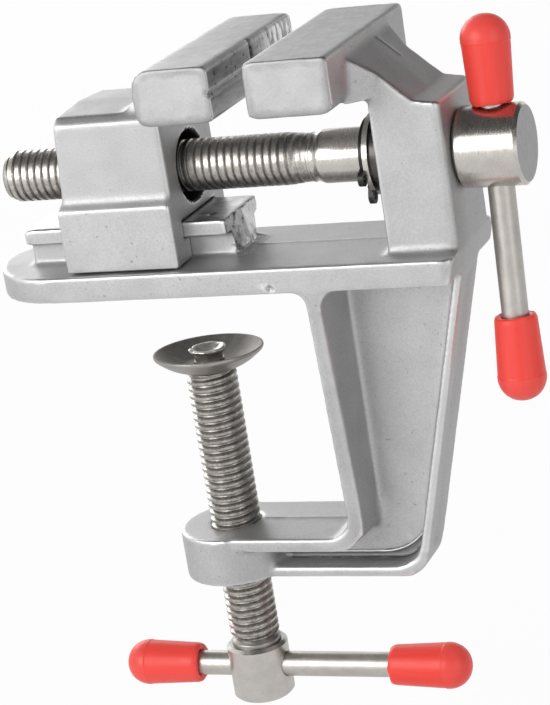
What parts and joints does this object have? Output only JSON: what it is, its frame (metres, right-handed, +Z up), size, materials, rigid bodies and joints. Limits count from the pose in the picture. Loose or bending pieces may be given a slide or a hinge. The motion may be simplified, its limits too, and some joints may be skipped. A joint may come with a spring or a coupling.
{
  "type": "clamp-on table vise",
  "caption": "Small cast bench vise with a C-clamp frame, a screw-driven sliding jaw and sliding-bar handles with red end caps; grips small work at a table edge.",
  "frame": {"origin": "underside of the base plate, the face that rests on the table, where the clamp screw's axis meets it", "axes": "+X along the main screw towards its head, +Y to the back of the vise, +Z up from the table"},
  "size_m": [0.0886, 0.0368, 0.11],
  "materials": {
    "cast_body": "sandblasted casting, satin",
    "steel": "bright nickel-plated, turned",
    "clip": "blackened spring steel",
    "red_cap": "glossy dipped vinyl"
  },
  "bodies": {
    "frame": {"frame_casting": "cast_body"},
    "moving_jaw": {"moving_jaw": "cast_body"},
    "main_screw": {"main_spindle": "steel", "main_screw_head": "steel", "retaining_clip": "clip", "thrust_washer": "steel", "spring_washer": "steel"},
    "main_handle": {"main_handle_bar": "steel", "main_handle_cap_top": "red_cap", "main_handle_cap_bottom": "red_cap"},
    "clamp_pad": {"clamp_pad": "steel"},
    "clamp_screw": {"clamp_spindle": "steel", "clamp_screw_head": "steel"},
    "clamp_handle": {"clamp_handle_bar": "steel", "clamp_handle_cap_left": "red_cap", "clamp_handle_cap_right": "red_cap"}
  },
  "joints": [
    {"name": "main_screw_spin", "type": "hinge", "parent": "frame", "child": "main_screw", "pos_m": [0, 0, 0.0179], "axis": [1, 0, 0], "range_deg": [-1497.6, 5760]},
    {"name": "jaw_slide", "type": "slide", "parent": "frame", "child": "moving_jaw", "axis": [-1, 0, 0], "range_m": [-0.00521, 0.02001]},
    {"name": "main_handle_slide", "type": "slide", "parent": "main_screw", "child": "main_handle", "axis": [0, 0.0698, 0.9976], "range_m": [0, 0.0196]},
    {"name": "clamp_slide", "type": "slide", "parent": "frame", "child": "clamp_pad", "axis": [0, 0, 1], "range_m": [-0.02441, 0.01181]},
    {"name": "clamp_spin", "type": "hinge", "parent": "clamp_pad", "child": "clamp_screw", "pos_m": [0, 0, -0.04], "axis": [0, 0, 1], "range_deg": [-7027.2, 3398.4]},
    {"name": "clamp_handle_slide", "type": "slide", "parent": "clamp_screw", "child": "clamp_handle", "axis": [1, 0, 0], "range_m": [-0.0178, 0.005]}
  ],
  "couplings": [
    {"joint": "jaw_slide", "follows": "main_screw_spin", "m_per_rad": 0.00019894},
    {"joint": "clamp_slide", "follows": "clamp_spin", "m_per_rad": 0.00019894}
  ]
}
